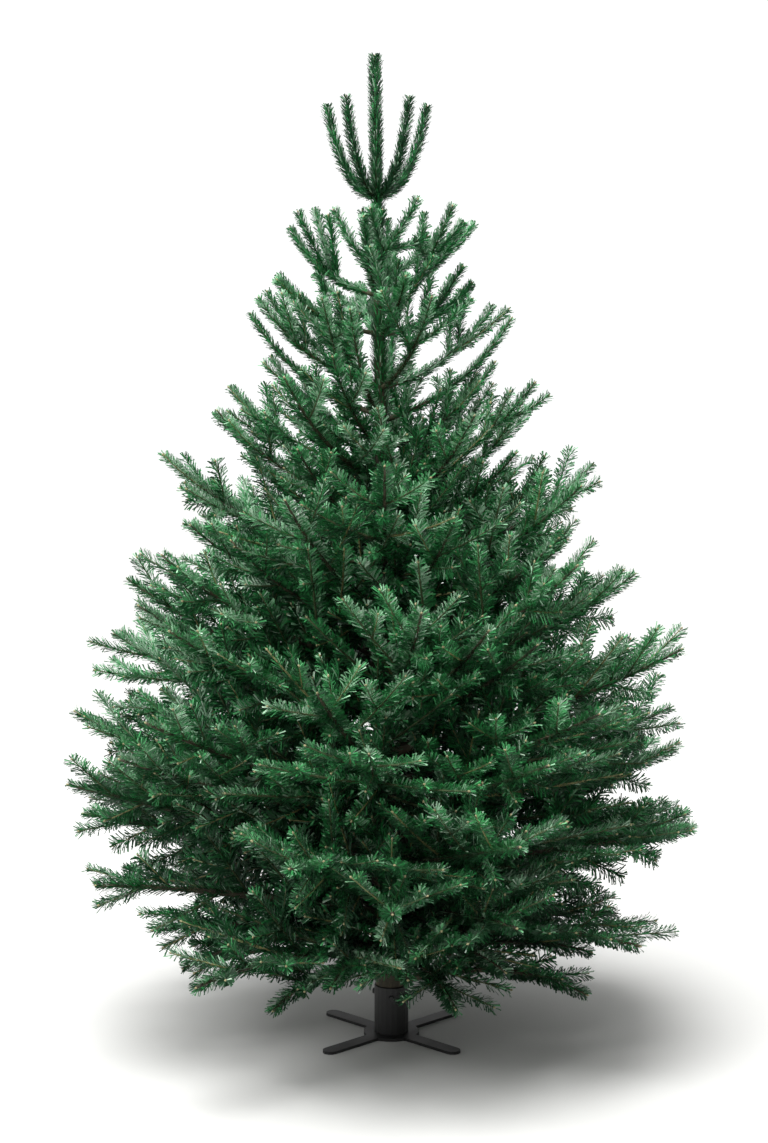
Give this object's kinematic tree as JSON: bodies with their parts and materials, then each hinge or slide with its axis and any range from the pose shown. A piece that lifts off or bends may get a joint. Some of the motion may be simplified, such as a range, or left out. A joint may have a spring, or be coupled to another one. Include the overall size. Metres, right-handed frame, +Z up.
{
  "type": "cut fir christmas tree in a plain cross stand",
  "caption": "Undecorated cut fir tree: a tapering trunk with whorls of boughs and masses of needle foliage, held upright by a plain steel cross stand.",
  "frame": {"origin": "middle of the stand's flat underside, on the floor, under the foot of the trunk", "axes": "+Z up along the trunk, -Y towards the viewer of the picture, +X to the viewer's right"},
  "size_m": [1.2766, 1.2629, 2],
  "materials": {
    "fir_bark": "rough grey-brown bark",
    "fir_needles": "waxy deep green needles",
    "powder_coated_steel": "satin black"
  },
  "bodies": {
    "root": {"bough_6_1": "fir_bark", "bough_6_2": "fir_bark", "bough_6_3": "fir_bark", "bough_6_4": "fir_bark", "bough_7_1": "fir_bark", "bough_7_2": "fir_bark", "bough_7_3": "fir_bark", "bough_7_4": "fir_bark", "bough_8_1": "fir_bark", "bough_8_2": "fir_bark", "bough_8_3": "fir_bark", "bough_8_4": "fir_bark", "bough_9_1": "fir_bark", "bough_9_2": "fir_bark", "bough_9_3": "fir_bark", "bough_9_4": "fir_bark", "foliage_1_1": "fir_needles", "foliage_1_2": "fir_needles", "foliage_1_3": "fir_needles", "foliage_1_4": "fir_needles", "foliage_1_5": "fir_needles", "foliage_2_1": "fir_needles", "foliage_2_2": "fir_needles", "foliage_2_3": "fir_needles", "foliage_2_4": "fir_needles", "foliage_3_1": "fir_needles", "foliage_3_2": "fir_needles", "foliage_3_3": "fir_needles", "foliage_3_4": "fir_needles", "foliage_4_1": "fir_needles", "foliage_4_2": "fir_needles", "foliage_4_3": "fir_needles", "foliage_4_4": "fir_needles", "foliage_5_1": "fir_needles", "foliage_5_2": "fir_needles", "foliage_5_3": "fir_needles", "foliage_5_4": "fir_needles", "foliage_6_1": "fir_needles", "foliage_6_2": "fir_needles", "foliage_6_3": "fir_needles", "foliage_6_4": "fir_needles", "foliage_7_1": "fir_needles", "foliage_7_2": "fir_needles", "foliage_7_3": "fir_needles", "foliage_7_4": "fir_needles", "foliage_8_1": "fir_needles", "foliage_8_2": "fir_needles", "foliage_8_3": "fir_needles", "foliage_8_4": "fir_needles", "foliage_9_1": "fir_needles", "foliage_9_2": "fir_needles", "foliage_9_3": "fir_needles", "foliage_9_4": "fir_needles", "leading_shoot": "fir_needles", "stand_plate": "powder_coated_steel", "stand_screw_1": "powder_coated_steel", "stand_screw_2": "powder_coated_steel", "stand_screw_3": "powder_coated_steel", "stand_socket": "powder_coated_steel", "trunk": "fir_bark"}
  },
  "joints": []
}
